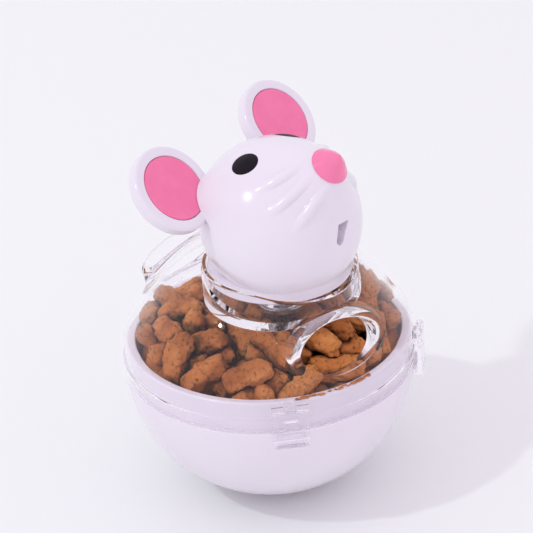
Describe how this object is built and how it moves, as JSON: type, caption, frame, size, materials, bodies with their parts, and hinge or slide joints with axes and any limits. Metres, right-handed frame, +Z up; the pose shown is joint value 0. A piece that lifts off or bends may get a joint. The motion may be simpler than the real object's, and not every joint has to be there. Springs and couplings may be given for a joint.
{
  "type": "cat treat tumbler",
  "caption": "Roly-poly treat dispenser: weighted round bowl, clear domed cover with oval outlets and clips, turning mouse head with round ears.",
  "frame": {"origin": "middle of the bowl's flat foot, the face that rests on the floor", "axes": "+Z up; the mouse's face looks towards -Y; +X is on the mouse's left"},
  "size_m": [0.08, 0.0828, 0.1079],
  "materials": {
    "white": "glossy white moulding",
    "clear": "clear, glossy, see-through",
    "pink": "satin pink",
    "black": "glossy black",
    "weight_steel": "plain, inside",
    "screw_steel": "zinc plated"
  },
  "bodies": {
    "base": {"bowl": "white", "counterweight": "weight_steel", "inner_floor": "white", "floor_screws": "screw_steel"},
    "cover": {"cover": "clear", "latch_pins": "clear"},
    "head": {"head_front": "white", "head_back": "white", "ear_pad_left": "pink", "ear_pad_right": "pink", "eye_left": "black", "eye_right": "black", "nose_cone": "pink", "head_screws": "screw_steel", "pivot_washer": "screw_steel", "pivot_screw": "screw_steel"},
    "clip_front": {"latch_front": "clear"},
    "clip_side": {"latch_side": "clear"},
    "clip_rear": {"latch_rear": "clear"}
  },
  "joints": [
    {"name": "cover_lift", "type": "slide", "parent": "base", "child": "cover", "axis": [0, 0, 1], "range_m": [0, 0.06]},
    {"name": "head_turn", "type": "hinge", "parent": "cover", "child": "head", "pos_m": [-0.00281, -0.00749, 0.0605], "axis": [0, 0, 1], "continuous": true},
    {"name": "clip_front_hinge", "type": "hinge", "parent": "cover", "child": "clip_front", "pos_m": [-0.02974, -0.02822, 0.0458], "axis": [-0.6884, 0.7254, 0], "range_deg": [0, 100]},
    {"name": "clip_side_hinge", "type": "hinge", "parent": "cover", "child": "clip_side", "pos_m": [0.01931, -0.03617, 0.0458], "axis": [-0.8821, -0.471, 0], "range_deg": [0, 100]},
    {"name": "clip_rear_hinge", "type": "hinge", "parent": "cover", "child": "clip_rear", "pos_m": [0.00656, 0.04047, 0.0458], "axis": [0.9871, -0.1599, 0], "range_deg": [0, 100]}
  ]
}
